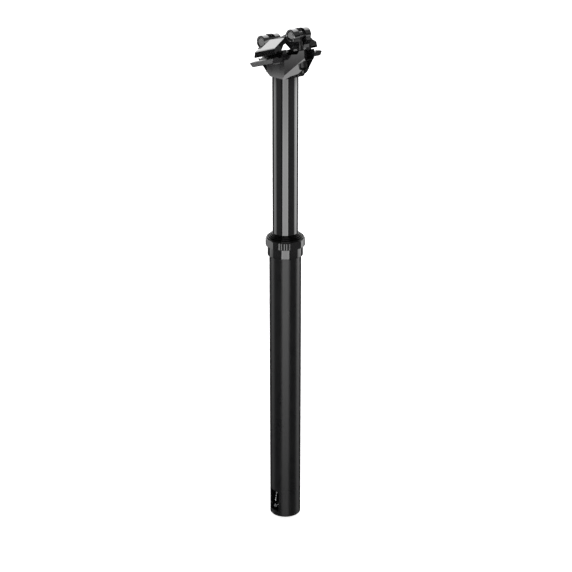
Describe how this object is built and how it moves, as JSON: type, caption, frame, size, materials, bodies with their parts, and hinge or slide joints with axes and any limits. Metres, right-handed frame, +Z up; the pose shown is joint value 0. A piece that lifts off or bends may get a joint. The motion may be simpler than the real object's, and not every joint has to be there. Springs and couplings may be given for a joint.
{
  "type": "suspension seatpost",
  "caption": "Telescopic suspension seatpost: black outer tube, threaded collar and wiper, sliding stanchion on a gas spring, and a two-bolt saddle rail clamp.",
  "frame": {"origin": "centre of the lower end of the outer tube", "axes": "+Z up along the post, +Y to the rear of the bicycle, +X to the rider's left"},
  "size_m": [0.0606, 0.0632, 0.5085],
  "materials": {
    "tube_black": "satin hard-anodised black",
    "stanchion_black": "gloss black hard-anodised, polished",
    "collar_black": "polished black anodised",
    "clamp_black": "satin black anodised, forged and machined",
    "head_black": "satin black painted forging",
    "seal_rubber": "matte black nitrile",
    "foam": "open-cell foam",
    "bushing": "bronze-filled PTFE liner",
    "steel_black": "black oxide steel",
    "steel_plain": "ground steel",
    "nut_black": "hard-anodised black",
    "brass": "machined brass",
    "alloy_raw": "machined",
    "housing_black": "glass-filled nylon",
    "elastomer": "urethane bumper"
  },
  "bodies": {
    "outer": {"outer_tube": "tube_black", "collar_base": "collar_black", "collar_nut": "collar_black", "dust_wiper": "seal_rubber", "foam_ring": "foam", "upper_circlip": "steel_plain", "upper_bushing": "bushing", "top_out_bumper": "elastomer", "cartridge_rod": "steel_plain", "cartridge_piston": "alloy_raw", "actuator_housing": "housing_black", "pivot_screw": "steel_plain", "return_spring": "steel_plain"},
    "post": {"stanchion": "stanchion_black", "lower_bushing": "bushing", "guide_keys": "brass", "cartridge_cylinder": "alloy_raw", "cartridge_seal_head": "alloy_raw", "cartridge_plug": "alloy_raw", "air_valve": "brass", "valve_cap": "housing_black", "seatpost_head": "head_black"},
    "clamp": {"rail_cradle": "clamp_black", "upper_rail_clamp": "clamp_black"},
    "rear_nut": {"rear_barrel_nut": "nut_black"},
    "front_nut": {"front_barrel_nut": "nut_black"},
    "rear_screw": {"rear_bolt": "steel_black", "rear_bolt_washer": "steel_black"},
    "front_screw": {"front_bolt": "steel_black", "front_bolt_washer": "steel_black"},
    "lever": {"actuator_lever": "steel_black", "cable_barrel": "steel_plain"},
    "pin": {"valve_pin": "steel_plain"}
  },
  "joints": [
    {"name": "post_travel", "type": "slide", "parent": "outer", "child": "post", "axis": [0, 0, -1], "range_m": [0, 0.15], "stiffness_N_per_m": 1200, "springref_m": -0.06},
    {"name": "clamp_pitch", "type": "hinge", "parent": "post", "child": "clamp", "pos_m": [0, -0.00227, 0.49201], "axis": [1, 0, 0], "range_deg": [-6, 6]},
    {"name": "lever_turn", "type": "hinge", "parent": "outer", "child": "lever", "pos_m": [0, -0.0035, 0.0074], "axis": [1, 0, 0], "range_deg": [0, 15]},
    {"name": "pin_lift", "type": "slide", "parent": "outer", "child": "pin", "axis": [0, 0, 1], "range_m": [0, 0.001], "stiffness_N_per_m": 400, "springref_m": -0.003},
    {"name": "rear_nut_turn", "type": "hinge", "parent": "clamp", "child": "rear_nut", "pos_m": [0, 0.01799, 0.50174], "axis": [1, 0, 0], "range_deg": [-10, 10]},
    {"name": "front_nut_turn", "type": "hinge", "parent": "clamp", "child": "front_nut", "pos_m": [0, -0.02274, 0.49071], "axis": [1, 0, 0], "range_deg": [-10, 10]},
    {"name": "rear_bolt_swing", "type": "hinge", "parent": "post", "child": "rear_screw", "pos_m": [0, 0.0222, 0.4796], "axis": [1, 0, 0], "range_deg": [-4, 4]},
    {"name": "front_bolt_swing", "type": "hinge", "parent": "post", "child": "front_screw", "pos_m": [0, -0.0204, 0.4694], "axis": [1, 0, 0], "range_deg": [-4, 4]}
  ],
  "couplings": [
    {"joint": "rear_bolt_swing", "follows": "clamp_pitch", "ratio": 0.2556},
    {"joint": "rear_nut_turn", "follows": "clamp_pitch", "ratio": -0.7444},
    {"joint": "front_bolt_swing", "follows": "clamp_pitch", "ratio": 0.0433},
    {"joint": "front_nut_turn", "follows": "clamp_pitch", "ratio": -0.9567},
    {"joint": "lever_turn", "follows": "pin_lift", "rad_per_m": 256}
  ]
}
